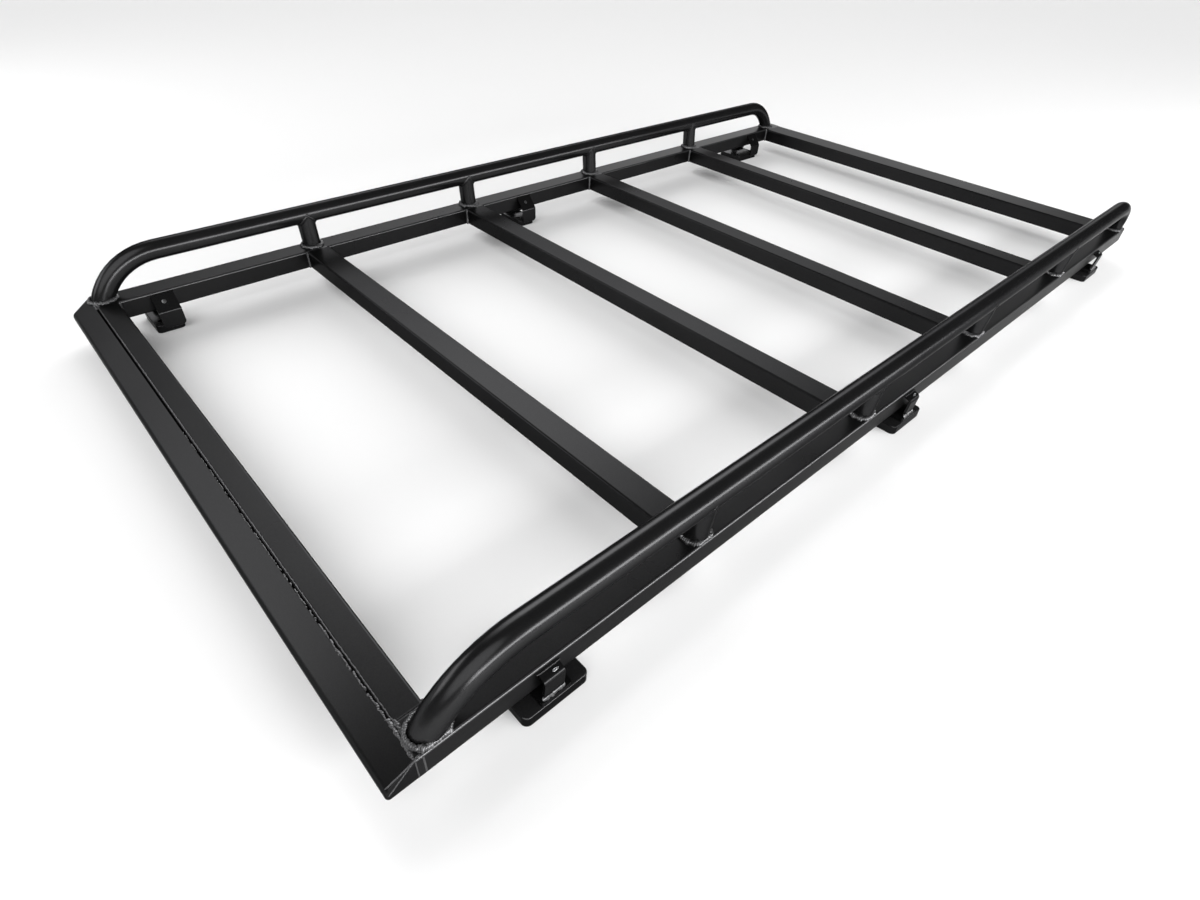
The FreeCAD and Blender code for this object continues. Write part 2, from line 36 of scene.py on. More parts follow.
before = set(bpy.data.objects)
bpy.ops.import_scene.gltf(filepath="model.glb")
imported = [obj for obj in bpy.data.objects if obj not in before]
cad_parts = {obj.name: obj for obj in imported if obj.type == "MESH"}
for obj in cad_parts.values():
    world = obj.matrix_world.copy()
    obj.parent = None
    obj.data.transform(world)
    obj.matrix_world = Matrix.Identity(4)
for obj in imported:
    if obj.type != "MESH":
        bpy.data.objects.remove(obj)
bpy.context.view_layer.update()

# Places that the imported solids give
BEAM_LOW, BEAM_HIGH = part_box("side_beam_left")
RAIL_LOW, RAIL_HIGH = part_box("side_rail_left")
POST_LOW, POST_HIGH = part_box("rail_post_left_1")
FRONT_LOW, FRONT_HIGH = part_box("front_cross_tube")
DECK = BEAM_HIGH.z
BEAM_BOTTOM = BEAM_LOW.z
OUTER_FACE = BEAM_HIGH.x
INNER_FACE = BEAM_LOW.x
SEAM = BEAM_LOW.y
TUBE_RADIUS = (POST_HIGH.y - POST_LOW.y) / 2
SIDES = (("left", 1), ("right", -1))
UP = Vector((0, 0, 1))

# Rails and posts lean outwards by this angle
LEAN = math.radians(5)
RAIL_SIDE = POST_LOW.x + TUBE_RADIUS / math.cos(LEAN)
RAIL_RISE = (RAIL_HIGH.z - TUBE_RADIUS - DECK) / math.cos(LEAN)

# Where each rail lands behind the seam, and the radius it is bent to there
RAIL_ENDS = {
    "left": (("front", 0.028, 0.138), ("rear", 2.163, 0.076)),
    "right": (("front", 0.021, 0.132), ("rear", 2.147, 0.104)),
}


# Settings

class RackCoatSettings(bpy.types.PropertyGroup):
    """Colour and surface of the powder coat and of the zinc screws."""

    coat_colour: FloatVectorProperty(
        name="Coat colour", description="Colour of the powder coat",
        subtype="COLOR", size=3, min=0, max=1, default=(0.0205, 0.0205, 0.021),
    )
    coat_roughness: FloatProperty(
        name="Coat roughness", description="Mean roughness of the powder coat",
        subtype="FACTOR", min=0, max=1, default=0.28,
    )
    peel_size: FloatProperty(
        name="Orange peel", description="Width of the waves in the coat",
        unit="LENGTH", min=0.0001, default=0.0016,
    )
    zinc_colour: FloatVectorProperty(
        name="Zinc colour", description="Colour of the plated screws",
        subtype="COLOR", size=3, min=0, max=1, default=(0.62, 0.63, 0.64),
    )


class RackWeldSettings(bpy.types.PropertyGroup):
    """Sizes of the weld beads."""

    ring_leg: FloatProperty(
        name="Ring leg", description="How far the ring welds reach from the tube",
        unit="LENGTH", min=0.001, default=0.008,
    )
    ring_pitch: FloatProperty(
        name="Ring pitch", description="Distance between the ripples of a ring weld",
        unit="LENGTH", min=0.001, default=0.0034,
    )
    seam_width: FloatProperty(
        name="Seam width", description="Width of the bead along the nose seam",
        unit="LENGTH", min=0.001, default=0.0034,
    )
    corner_width: FloatProperty(
        name="Corner width", description="Width of the beads where bars meet the beams",
        unit="LENGTH", min=0.001, default=0.006,
    )


class RackStageSettings(bpy.types.PropertyGroup):
    """Floor, lamps and camera."""

    floor_size: FloatProperty(
        name="Floor size", description="Width of the studio floor",
        unit="LENGTH", min=4, default=80,
    )
    sun_level: FloatProperty(
        name="Key light", description="Strength of the broad light from behind the camera",
        min=0, default=1.55,
    )
    sky_level: FloatProperty(
        name="Sky level", description="Strength of the even light all round",
        min=0, default=0.13,
    )
    wall_level: FloatProperty(
        name="Wall level", description="Strength of the bright wall behind and left of the rack",
        min=0, default=5.8,
    )
    strip_power: FloatProperty(
        name="Strip light", description="Power of the long lamp low beside the rack",
        subtype="POWER", min=0, default=130,
    )
    front_power: FloatProperty(
        name="Front light", description="Power of the softbox in front of the nose",
        subtype="POWER", min=0, default=36,
    )
    lens: FloatProperty(
        name="Lens", description="Focal length of the camera in millimetres",
        min=1, default=20.257,
    )


# Materials

def socket(group, name, kind, side, value=None):
    """New named socket of a node group."""
    made = group.interface.new_socket(name=name, in_out=side, socket_type=kind)
    if value is not None:
        made.default_value = value
    return made


def smooth_step(nodes, links, value, start, end, low, high):
    """Level that goes smoothly from low to high while a value goes from start to end."""
    step = nodes.new("ShaderNodeMapRange")
    step.interpolation_type = "SMOOTHSTEP"
    step.inputs["From Min"].default_value = start
    step.inputs["From Max"].default_value = end
    step.inputs["To Min"].default_value = low
    step.inputs["To Max"].default_value = high
    links.new(value, step.inputs["Value"])
    return step.outputs["Result"]


def arithmetic(nodes, links, operation, first, second):
    """Result of a Math node on two outputs or numbers."""
    made = nodes.new("ShaderNodeMath")
    made.operation = operation
    for socket_in, value in zip(made.inputs, (first, second)):
        if isinstance(value, (int, float)):
            socket_in.default_value = value
        else:
            links.new(value, socket_in)
    return made.outputs["Value"]


def surface_variation_group():
    """Node group: slow drift of colour, fine speckle and the height of an orange peel."""
    group = bpy.data.node_groups.new("Coat Variation", "ShaderNodeTree")
    socket(group, "Colour", "NodeSocketColor", "INPUT", (0.014, 0.014, 0.014, 1))
    socket(group, "Roughness", "NodeSocketFloat", "INPUT", 0.4)
    socket(group, "Peel Scale", "NodeSocketFloat", "INPUT", 600.0)
    socket(group, "Colour", "NodeSocketColor", "OUTPUT")
    socket(group, "Roughness", "NodeSocketFloat", "OUTPUT")
    socket(group, "Height", "NodeSocketFloat", "OUTPUT")
    nodes, links = group.nodes, group.links
    given = nodes.new("NodeGroupInput")
    result = nodes.new("NodeGroupOutput")
    place = nodes.new("ShaderNodeTexCoord")

    drift = nodes.new("ShaderNodeTexNoise")
    drift.inputs["Scale"].default_value = 6.0
    drift.inputs["Detail"].default_value = 4.0
    links.new(place.outputs["Object"], drift.inputs["Vector"])

    speckle = nodes.new("ShaderNodeTexNoise")
    speckle.inputs["Scale"].default_value = 900.0
    speckle.inputs["Detail"].default_value = 2.0
    links.new(place.outputs["Object"], speckle.inputs["Vector"])

    peel = nodes.new("ShaderNodeTexNoise")
    peel.inputs["Detail"].default_value = 1.5
    links.new(place.outputs["Object"], peel.inputs["Vector"])
    links.new(given.outputs["Peel Scale"], peel.inputs["Scale"])

    lift = nodes.new("ShaderNodeMapRange")
    lift.inputs["To Min"].default_value = 0.8
    lift.inputs["To Max"].default_value = 1.25
    links.new(drift.outputs["Fac"], lift.inputs["Value"])

    grain = nodes.new("ShaderNodeMapRange")
    grain.inputs["From Min"].default_value = 0.3
    grain.inputs["From Max"].default_value = 0.7
    grain.inputs["To Min"].default_value = 0.88
    grain.inputs["To Max"].default_value = 1.12
    links.new(speckle.outputs["Fac"], grain.inputs["Value"])

    both = nodes.new("ShaderNodeMath")
    both.operation = "MULTIPLY"
    links.new(lift.outputs["Result"], both.inputs[0])
    links.new(grain.outputs["Result"], both.inputs[1])

    tint = nodes.new("ShaderNodeVectorMath")
    tint.operation = "SCALE"
    links.new(given.outputs["Colour"], tint.inputs[0])
    links.new(both.outputs["Value"], tint.inputs["Scale"])
    links.new(tint.outputs["Vector"], result.inputs["Colour"])

    rough = nodes.new("ShaderNodeMath")
    rough.operation = "MULTIPLY"
    rough.use_clamp = True
    links.new(given.outputs["Roughness"], rough.inputs[0])
    links.new(lift.outputs["Result"], rough.inputs[1])
    links.new(rough.outputs["Value"], result.inputs["Roughness"])
    links.new(peel.outputs["Fac"], result.inputs["Height"])
    return group


def coat_material(name, colour, roughness, slant, peel_size, peel_height):
    """Satin metallic powder coat; slant is its gloss when seen at a slant."""
    material = bpy.data.materials.new(name)
    material.use_nodes = True
    nodes, links = material.node_tree.nodes, material.node_tree.links
    shader = nodes["Principled BSDF"]
    shader.inputs["Metallic"].default_value = 0.85
    shader.inputs["Specular IOR Level"].default_value = 0.0
    shader.inputs["Specular Tint"].default_value = (slant, slant, slant, 1)
    group = bpy.data.node_groups.get("Coat Variation") or surface_variation_group()
    variation = nodes.new("ShaderNodeGroup")
    variation.node_tree = group
    variation.inputs["Colour"].default_value = (*colour, 1)
    variation.inputs["Roughness"].default_value = roughness
    variation.inputs["Peel Scale"].default_value = 1 / peel_size
    bump = nodes.new("ShaderNodeBump")
    bump.inputs["Strength"].default_value = 0.5
    bump.inputs["Distance"].default_value = peel_height
    links.new(variation.outputs["Colour"], shader.inputs["Base Color"])
    links.new(variation.outputs["Roughness"], shader.inputs["Roughness"])
    links.new(variation.outputs["Height"], bump.inputs["Height"])
    links.new(bump.outputs["Normal"], shader.inputs["Normal"])
    return material


def painted_edge_highlight(material, edges, depth, gain):
    """Painted highlight: a lighter colour in a thin band along the upper edges of a front-to-back form."""
    nodes, links = material.node_tree.nodes, material.node_tree.links
    shader = nodes["Principled BSDF"]
    place = nodes.new("ShaderNodeTexCoord")
    parts = nodes.new("ShaderNodeSeparateXYZ")
    links.new(place.outputs["Object"], parts.inputs["Vector"])
    across = arithmetic(nodes, links, "ABSOLUTE", parts.outputs["X"], 0)
    mask = None
    for outward, level in edges:
        reach = arithmetic(nodes, links, "MULTIPLY", across, outward)
        reach = arithmetic(nodes, links, "ADD", reach, parts.outputs["Z"])
        line = smooth_step(nodes, links, reach, level - depth - 0.0005, level - depth, 1, gain)
        mask = arithmetic(nodes, links, "MAXIMUM", mask, line) if mask else line
    tint = nodes.new("ShaderNodeVectorMath")
    tint.operation = "SCALE"
    links.new(shader.inputs["Base Color"].links[0].from_socket, tint.inputs[0])
    links.new(mask, tint.inputs["Scale"])
    links.new(tint.outputs["Vector"], shader.inputs["Base Color"])


def zinc_material(name, colour):
    """Bright zinc plating with fine turning marks."""
    material = coat_material(name, colour, 0.3, 1.0, 0.0008, 0.00002)
    material.node_tree.nodes["Principled BSDF"].inputs["Metallic"].default_value = 1.0
    return material


def finish_material(kind):
    """The coat on frame, rails, feet and welds, in lighter copies for painted highlights and darker ones for
    painted shade, or the zinc, made once each.
    """
    found = bpy.data.materials.get(kind)
    if found:
        return found
    coat = bpy.context.scene.rack_coat
    colour = tuple(coat.coat_colour)
    if kind == "Zinc Plate":
        return zinc_material(kind, tuple(coat.zinc_colour))
    if kind == "Dark Steel":
        return zinc_material(kind, tuple(part * 0.3 for part in coat.zinc_colour))
    # Copies of the one powder coat: shade multiplies the colour and lightens or darkens a copy as painted
    # highlight or painted shade, gloss multiplies the roughness, slant is the tint of the gloss at a slant
    # and the last value the height of the peel
    changes = {
        "Frame Coat": (1.0, 1.0, 0.465, 0.00002),
        # A touch lighter copy of the coat, with painted highlight lines on the beams' upper edges
        "Beam Edge Highlight Coat": (1.05, 1.0, 0.55, 0.00002),
        # A darker copy of the coat, painted shade inside the trays, with painted highlight lines on their
        # rims
        "Tray Shade And Rim Highlight Coat": (0.75, 0.85, 0.45, 0.00001),
        # A lighter copy of the coat on the rails and post tops, for painted highlights on the tubes
        "Rail Highlight Coat": (1.5, 0.85, 0.4, 0.000004),
        "Foot Coat": (1.0, 0.85, 0.45, 0.00001),
        # The welds share the frame's black coat; this lighter copy paints their highlights
        "Weld Highlight Coat": (4.6, 1.1, 0.6, 0.00003),
        # A near-black copy for painted shade in the seam's groove
        "Groove Shade Coat": (0.2, 2.0, 0.1, 0.00003),
    }
    shade, gloss, slant, height = changes[kind]
    shaded = tuple(part * shade for part in colour)
    roughness = coat.coat_roughness * gloss
    material = coat_material(kind, shaded, roughness, slant, coat.peel_size, height)
    # Painted highlights: lighter lines along the beams' upper edges and along the trays' rims
    if kind == "Beam Edge Highlight Coat":
        painted_edge_highlight(material, ((1, OUTER_FACE + DECK), (-1, DECK - INNER_FACE)), 0.0029, 3.2)
    if kind == "Tray Shade And Rim Highlight Coat":
        painted_edge_highlight(material, ((0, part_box("foot_tray_left_1")[1].z),), 0.0004, 4.0)
    return material


# Modelling

def deselect_all():
    """Nothing selected, no edit mode."""
    if bpy.context.mode != "OBJECT":
        bpy.ops.object.mode_set(mode="OBJECT")
    bpy.ops.object.select_all(action="DESELECT")


def finished(piece, name, material):
    """Applies the place of a piece, shades it and gives it its name, finish and body."""
    deselect_all()
    piece.select_set(True)
    bpy.context.view_layer.objects.active = piece
    bpy.ops.object.transform_apply(location=True, rotation=True, scale=True)
    bpy.ops.object.shade_smooth_by_angle(angle=math.radians(50))
    piece.name = name
    piece.data.name = name
    piece.data.materials.clear()
    piece.data.materials.append(material)
    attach(piece, "root")
    return piece


def joined(copies):
    """One object of all the copies."""
    deselect_all()
    for piece in copies:
        piece.select_set(True)
    bpy.context.view_layer.objects.active = copies[0]
    if len(copies) > 1:
        bpy.ops.object.join()
    return copies[0]


def copy_of(model, matrix):
    """Copy of a model with its own mesh, placed by a matrix."""
    made = model.copy()
    made.data = model.data.copy()
    made.matrix_world = matrix
    bpy.context.collection.objects.link(made)
    return made


def ripple_model():
    """One ripple of weld metal: a flattened ball, steeper at its leading side."""
    deselect_all()
    bpy.ops.mesh.primitive_uv_sphere_add(segments=9, ring_count=5, radius=1, location=(0, 0, 0))
    ball = bpy.context.object
    bpy.ops.object.mode_set(mode="EDIT")
    bpy.ops.mesh.select_all(action="DESELECT")
    bpy.ops.object.mode_set(mode="OBJECT")
    for vertex in ball.data.vertices:
        vertex.select = vertex.co.x > 0.3
    bpy.ops.object.mode_set(mode="EDIT")
    bpy.ops.transform.translate(value=(-0.12, 0, 0.16))
    bpy.ops.mesh.select_all(action="DESELECT")
    bpy.ops.object.mode_set(mode="OBJECT")
    ball.name = "ripple model"
    return ball


def basis(place, along, normal):
    """Matrix with x along the bead, z out of the surface."""
    z = normal.normalized()
    x = (along - z * along.dot(z)).normalized()
    y = z.cross(x)
    return Matrix((
        (x.x, y.x, z.x, place.x),
        (x.y, y.y, z.y, place.y),
        (x.z, y.z, z.z, place.z),
        (0, 0, 0, 1),
    ))


def ripples(model, path, width, height, pitch, unevenness, seed):
    """Overlapping ripples along a path of (place, along, normal); returns the copies."""
    chance = random.Random(seed)
    made = []
    for place, along, normal in path:
        wide = width * (1 + chance.uniform(-unevenness, unevenness))
        tall = height * (1 + chance.uniform(-unevenness, unevenness))
        long = pitch * (1 + chance.uniform(-unevenness, unevenness) * 0.5)
        turn = Matrix.Rotation(chance.uniform(-0.25, 0.25), 4, "Z")
        size = Matrix.Diagonal((long * 1.1, wide / 2, tall, 1))
        made.append(copy_of(model, basis(place, along, normal) @ turn @ size))
    return made


def line_path(start, end, normal, pitch):
    """Stations along a straight bead."""
    start, end = Vector(start), Vector(end)
    count = max(2, round((end - start).length / pitch) + 1)
    along = (end - start).normalized()
    return [(start.lerp(end, n / (count - 1)), along, Vector(normal)) for n in range(count)]


def leaned(side, station, across, along, up):
    """Point of a leaning tube, from its foot on the deck at a station."""
    return Vector((
        side * (RAIL_SIDE + across * math.cos(LEAN) + up * math.sin(LEAN)),
        station + along,
        DECK - across * math.sin(LEAN) + up * math.cos(LEAN),
    ))


def ring_path(centre, half_x, half_y, leg, pitch):
    """Stations round the foot of a tube that stands on the deck."""
    around = 2 * math.pi * math.sqrt(((half_x + leg / 2) ** 2 + (half_y + leg / 2) ** 2) / 2)
    count = round(around / pitch)
    stations = []
    for n in range(count):
        angle = 2 * math.pi * n / count
        across = Vector((math.cos(angle) / half_x, math.sin(angle) / half_y, 0)).normalized()
        edge = Vector((half_x * math.cos(angle), half_y * math.sin(angle), 0))
        along = Vector((-half_x * math.sin(angle), half_y * math.cos(angle), 0)).normalized()
        place = centre + edge + across * leg * 0.3 + UP * leg * 0.24
        past = max(0.0, abs(place.x) - (OUTER_FACE - 0.005))
        place.x -= math.copysign(past, place.x)
        place.z -= past * 0.25
        stations.append((place, along, across * 0.8 + UP))
    return stations


def saddle_path(side, station, pitch):
    """Stations round the top of a post, where it meets the underside of the rail."""
    count = round(2 * math.pi * TUBE_RADIUS * 1.2 / pitch)
    origin = leaned(side, station, 0, 0, 0)
    spots = []
    for n in range(count):
        angle = 2 * math.pi * n / count
        across = TUBE_RADIUS * math.cos(angle)
        along = TUBE_RADIUS * math.sin(angle)
        place = leaned(side, station, across, along, RAIL_RISE - abs(along))
        post_side = leaned(side, station, across, along, 0) - origin
        rail_side = leaned(side, station, across, 0, -abs(along)) - origin
        # At its flanks the post runs into the rail without a corner, so the bead lies lower
        lift = 0.0003 - 0.0015 * (across / TUBE_RADIUS) ** 4
        spots.append((place, (post_side + rail_side).normalized(), lift))
    stations = []
    for n, (place, normal, lift) in enumerate(spots):
        along = (spots[(n + 1) % count][0] - spots[n - 1][0]).normalized()
        stations.append((place + normal * lift, along, normal))
    return stations


class RACK_OT_coat_frame(bpy.types.Operator):
    """Gives the frame, rails and feet their satin powder coat, with lighter copies as painted highlights on
    rails and beam edges and a darker copy as painted shade in the trays
    """

    bl_idname = "rack.coat_frame"
    bl_label = "Coat the Frame"

    def execute(self, context):
        for name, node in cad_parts.items():
            if name.startswith(("side_rail", "rail_post")):
                kind = "Rail Highlight Coat"
            elif name.startswith("foot_tray"):
                kind = "Tray Shade And Rim Highlight Coat"
            elif name.startswith(("foot_", "outer_strap", "inner_strap")):
                kind = "Foot Coat"
            elif name.startswith("side_beam"):
                kind = "Beam Edge Highlight Coat"
            else:
                kind = "Frame Coat"
            for slot in node.material_slots:
                slot.material = finish_material(kind)
        return {"FINISHED"}


class RACK_OT_seam_weld(bpy.types.Operator):
    """Runs the bead along the seam between nose and front tube"""

    bl_idname = "rack.seam_weld"
    bl_label = "Nose Seam Weld"

    def execute(self, context):
        weld = context.scene.rack_weld
        model = ripple_model()
        tilt = Vector((0, -0.35, 1))
        chance = random.Random(12)
        # A dark bead along the bottom of the groove: painted shade where the groove is unlit
        groove = line_path(
            (-INNER_FACE, SEAM + 0.0024, DECK - 0.0019),
            (INNER_FACE, SEAM + 0.0024, DECK - 0.0019), tilt, 0.0034,
        )
        made = ripples(model, groove, 0.0052, 0.0008, 0.0042, 0.12, 5)
        finished(joined(made), "nose_seam_painted_shade", finish_material("Groove Shade Coat"))
        # A thin line in the lighter weld coat along the far lip of the groove, a painted highlight
        lip = line_path(
            (-INNER_FACE, SEAM + 0.0054, DECK - 0.0004),
            (INNER_FACE, SEAM + 0.0054, DECK - 0.0004), tilt, 0.0034,
        )
        made = ripples(model, lip, 0.0012, 0.0005, 0.0042, 0.1, 6)
        for n in range(200):
            # Lumps of the bead, thicker and with fewer gaps towards the left end
            near = (1 - n / 200) ** 2
            if chance.random() > 0.6 + 0.4 * near:
                continue
            place = Vector((
                INNER_FACE - 0.003 - 0.0031 * n,
                SEAM + 0.0011 + chance.uniform(-0.0004, 0.0004),
                DECK - 0.0017 + 0.0003 * near,
            ))
            lump = [(place, Vector((1, 0, 0)), tilt)]
            wide, tall = 0.0015 + 0.0026 * near, 0.0012 + 0.0004 * near
            made += ripples(model, lump, wide, tall, 0.0034, 0.45, n + 70)
        for side in (1, -1):
            # Over the end of the beam the bead stands proud, with a second run behind it
            path = line_path(
                (side * (INNER_FACE - 0.004), SEAM + 0.0021, DECK - 0.0008),
                (side * 0.5945, SEAM + 0.0008, DECK - 0.0006), UP, 0.0028,
            )
            made += ripples(model, path, 0.0042, 0.0016, 0.0034, 0.4, 21 + side)
            heel = line_path(
                (side * 0.5505, SEAM + 0.0072, DECK - 0.0002),
                (side * 0.5885, SEAM + 0.0056, DECK - 0.0002), UP, 0.0026,
            )
            made += ripples(model, heel, 0.0046, 0.0017, 0.0034, 0.4, 31 + side)
            tail = line_path(
                (side * 0.5935, SEAM + 0.0145, DECK - 0.0004),
                (side * 0.5975, SEAM + 0.003, DECK - 0.0014), UP, 0.0024,
            )
            made += ripples(model, tail, 0.0044, 0.0014, 0.003, 0.35, 41 + side)
            for back, wide in ((0.0006, 0.0014), (0.0095, 0.0024)):
                band = line_path(
                    (side * (OUTER_FACE - 0.0001), SEAM + back, DECK - 0.004),
                    (side * (OUTER_FACE - 0.0001), SEAM + back, BEAM_BOTTOM + 0.006),
                    (side, 0, 0), 0.0014,
                )
                made += ripples(model, band, wide, 0.0003, 0.0026, 0.05, 51 + side)
            # Dressed ridges along both sides of the nose's rounded end, whose lighter weld coat paints two
            # highlight lines
            for across, drop in ((0.5945, 0.0001), (0.5999, 0.0046)):
                ridge = line_path(
                    (side * 0.5985, SEAM - 0.001, DECK - 0.0018),
                    (side * across, SEAM - 0.031, DECK - 0.0201 - drop),
                    (side * drop * 100, -0.5, 0.8), 0.0016,
                )
                made += ripples(model, ridge, 0.0017, 0.0007, 0.003, 0.05, 61 + side)
        finished(joined(made), "nose_seam_weld", finish_material("Weld Highlight Coat"))
        bpy.data.objects.remove(model)
        return {"FINISHED"}


class RACK_OT_tube_welds(bpy.types.Operator):
    """Rings the feet of rails and posts and the tops of the posts with weld"""

    bl_idname = "rack.tube_welds"
    bl_label = "Rail and Post Welds"

    def execute(self, context):
        weld = context.scene.rack_weld
        model = ripple_model()
        wide = TUBE_RADIUS / math.cos(LEAN)
        for hand, side in SIDES:
            for end, behind, bend in RAIL_ENDS[hand]:
                # A rail lands at a slant, so its outline on the deck is an ellipse
                slant = math.asin(max(0, bend - RAIL_RISE) / bend)
                centre = Vector((side * RAIL_SIDE, SEAM + behind, DECK))
                path = ring_path(
                    centre, wide, TUBE_RADIUS / math.cos(slant), weld.ring_leg, weld.ring_pitch,
                )
                made = ripples(model, path, weld.ring_leg * 1.15, 0.0024, weld.ring_pitch, 0.25, 7)
                finished(
                    joined(made), "rail_foot_weld_%s_%s" % (hand, end),
                    finish_material("Weld Highlight Coat"),
                )
            rings = []
            tops = []
            for number in range(1, 5):
                low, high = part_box("rail_post_%s_%d" % (hand, number))
                station = (low.y + high.y) / 2
                centre = Vector((side * RAIL_SIDE, station, DECK))
                path = ring_path(centre, wide, TUBE_RADIUS, weld.ring_leg, weld.ring_pitch)
                rings += ripples(
                    model, path, weld.ring_leg * 1.3, 0.0034, weld.ring_pitch, 0.25, number,
                )
                path = saddle_path(side, station, 0.0034)
                tops += ripples(model, path, 0.0096, 0.0022, 0.0036, 0.12, number + 20)
            finished(joined(rings), "post_foot_welds_" + hand, finish_material("Weld Highlight Coat"))
            finished(joined(tops), "post_top_welds_" + hand, finish_material("Rail Highlight Coat"))
        bpy.data.objects.remove(model)
        return {"FINISHED"}


class RACK_OT_bar_welds(bpy.types.Operator):
    """Welds the ends of the crossbars to the side beams"""

    bl_idname = "rack.bar_welds"
    bl_label = "Crossbar Welds"

    def execute(self, context):
        weld = context.scene.rack_weld
        model = ripple_model()
        bars = ["front_cross_tube", "rear_crossbar"] + ["crossbar_%d" % n for n in range(1, 5)]
        for hand, side in SIDES:
            made = []
            for index, bar in enumerate(bars):
                low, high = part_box(bar)
                for y, away in ((low.y, -1), (high.y, 1)):
                    if bar == "front_cross_tube" and away < 0:
                        continue
                    if bar == "rear_crossbar" and away > 0:
                        continue
                    corner = Vector((side * (INNER_FACE - 0.0012), y + away * 0.0012, 0))
                    path = line_path(
                        corner + UP * (BEAM_BOTTOM + 0.003), corner + UP * (DECK - 0.003),
                        (-side, away, 0), 0.0028,
                    )
                    made += ripples(
                        model, path, weld.corner_width, 0.0016, 0.003, 0.25, index * 2 + away,
                    )
                if bar == "front_cross_tube":
                    continue
                top = line_path(
                    (side * (INNER_FACE + 0.0008), low.y + 0.007, DECK - 0.0009),
                    (side * (INNER_FACE + 0.0008), high.y - 0.007, DECK - 0.0009), UP, 0.004,
                )
                made += ripples(model, top, 0.0056, 0.0011, 0.0046, 0.15, index + 60)
            finished(joined(made), "crossbar_welds_" + hand, finish_material("Weld Highlight Coat"))
            # The joint of the front tube is ground flush on top
            low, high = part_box("front_cross_tube")
            flush = line_path(
                (side * (INNER_FACE + 0.0012), low.y + 0.006, DECK - 0.0015),
                (side * (INNER_FACE + 0.0012), high.y - 0.003, DECK - 0.0015), UP, 0.0016,
            )
            made = ripples(model, flush, 0.009, 0.0014, 0.004, 0.02, 80)
            finished(joined(made), "ground_joint_" + hand, finish_material("Frame Coat"))
        bpy.data.objects.remove(model)
        return {"FINISHED"}


class RACK_OT_foot_welds(bpy.types.Operator):
    """Welds the straps to the beams, the pads and the trays"""

    bl_idname = "rack.foot_welds"
    bl_label = "Foot Welds"

    def execute(self, context):
        model = ripple_model()
        for hand, side in SIDES:
            made = []
            tops = []
            for number in range(1, 4):
                low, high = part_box("outer_strap_%s_%d" % (hand, number))
                path = line_path(
                    (side * (OUTER_FACE + 0.0104), low.y + 0.0015, low.z + 0.003),
                    (side * (OUTER_FACE + 0.0104), high.y - 0.0015, low.z + 0.003),
                    (side, 0, 0.7), 0.0034,
                )
                made += ripples(model, path, 0.0085, 0.0014, 0.0036, 0.35, number)
                path = line_path(
                    (side * (OUTER_FACE + 0.0006), low.y + 0.002, high.z + 0.0004),
                    (side * (OUTER_FACE + 0.0006), high.y - 0.002, high.z + 0.0004),
                    (side * 0.7, 0, 1), 0.0032,
                )
                tops += ripples(model, path, 0.0034, 0.0009, 0.0044, 0.1, number + 9)
                low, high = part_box("inner_strap_%s_%d" % (hand, number))
                path = line_path(
                    (side * (INNER_FACE - 0.0006), low.y + 0.002, high.z + 0.0002),
                    (side * (INNER_FACE - 0.0006), high.y - 0.002, high.z + 0.0002),
                    (-side * 0.7, 0, 1), 0.0032,
                )
                tops += ripples(model, path, 0.0034, 0.0009, 0.0044, 0.1, number + 19)
                leg = low.x if side > 0 else high.x
                # Rough ridge along the knee, and the run under the foot of the leg
                path = line_path(
                    (leg + side * 0.0014, low.y + 0.001, 0.0424),
                    (leg + side * 0.0014, high.y - 0.001, 0.0424), (-side, 0, 0.75), 0.0022,
                )
                made += ripples(model, path, 0.0022, 0.0006, 0.0026, 0.45, number + 39)
                path = line_path(
                    (leg + side * 0.0032, low.y + 0.009, low.z - 0.0004),
                    (leg + side * 0.0032, high.y - 0.009, low.z - 0.0004),
                    (-side, 0, -0.8), 0.0034,
                )
                made += ripples(model, path, 0.0044, 0.0012, 0.004, 0.25, number + 29)
            finished(joined(made), "foot_welds_" + hand, finish_material("Weld Highlight Coat"))
            finished(joined(tops), "strap_joints_" + hand, finish_material("Foot Coat"))
        bpy.data.objects.remove(model)
        return {"FINISHED"}


def screw_model():
    """Low round screw head with a round socket; its flat side is at the origin."""
    deselect_all()
    bpy.ops.mesh.primitive_cylinder_add(
        vertices=28, radius=0.0041, depth=0.002, location=(0, 0, 0.001),
    )
    head = bpy.context.object
    bpy.ops.object.mode_set(mode="EDIT")
    bpy.ops.mesh.select_all(action="DESELECT")
    bpy.ops.object.mode_set(mode="OBJECT")
    top = [face for face in head.data.polygons if face.normal.z > 0.9][0]
    top.select = True
    bpy.ops.object.mode_set(mode="EDIT")
    bpy.ops.mesh.select_mode(type="FACE")
    bpy.ops.mesh.bevel(offset=0.0007, segments=3, affect="EDGES")
    bpy.ops.mesh.inset(thickness=0.0008)
    bpy.ops.mesh.extrude_region_move(TRANSFORM_OT_translate={"value": (0, 0, -0.0016)})
    bpy.ops.object.mode_set(mode="OBJECT")
    head.name = "screw model"
    return head


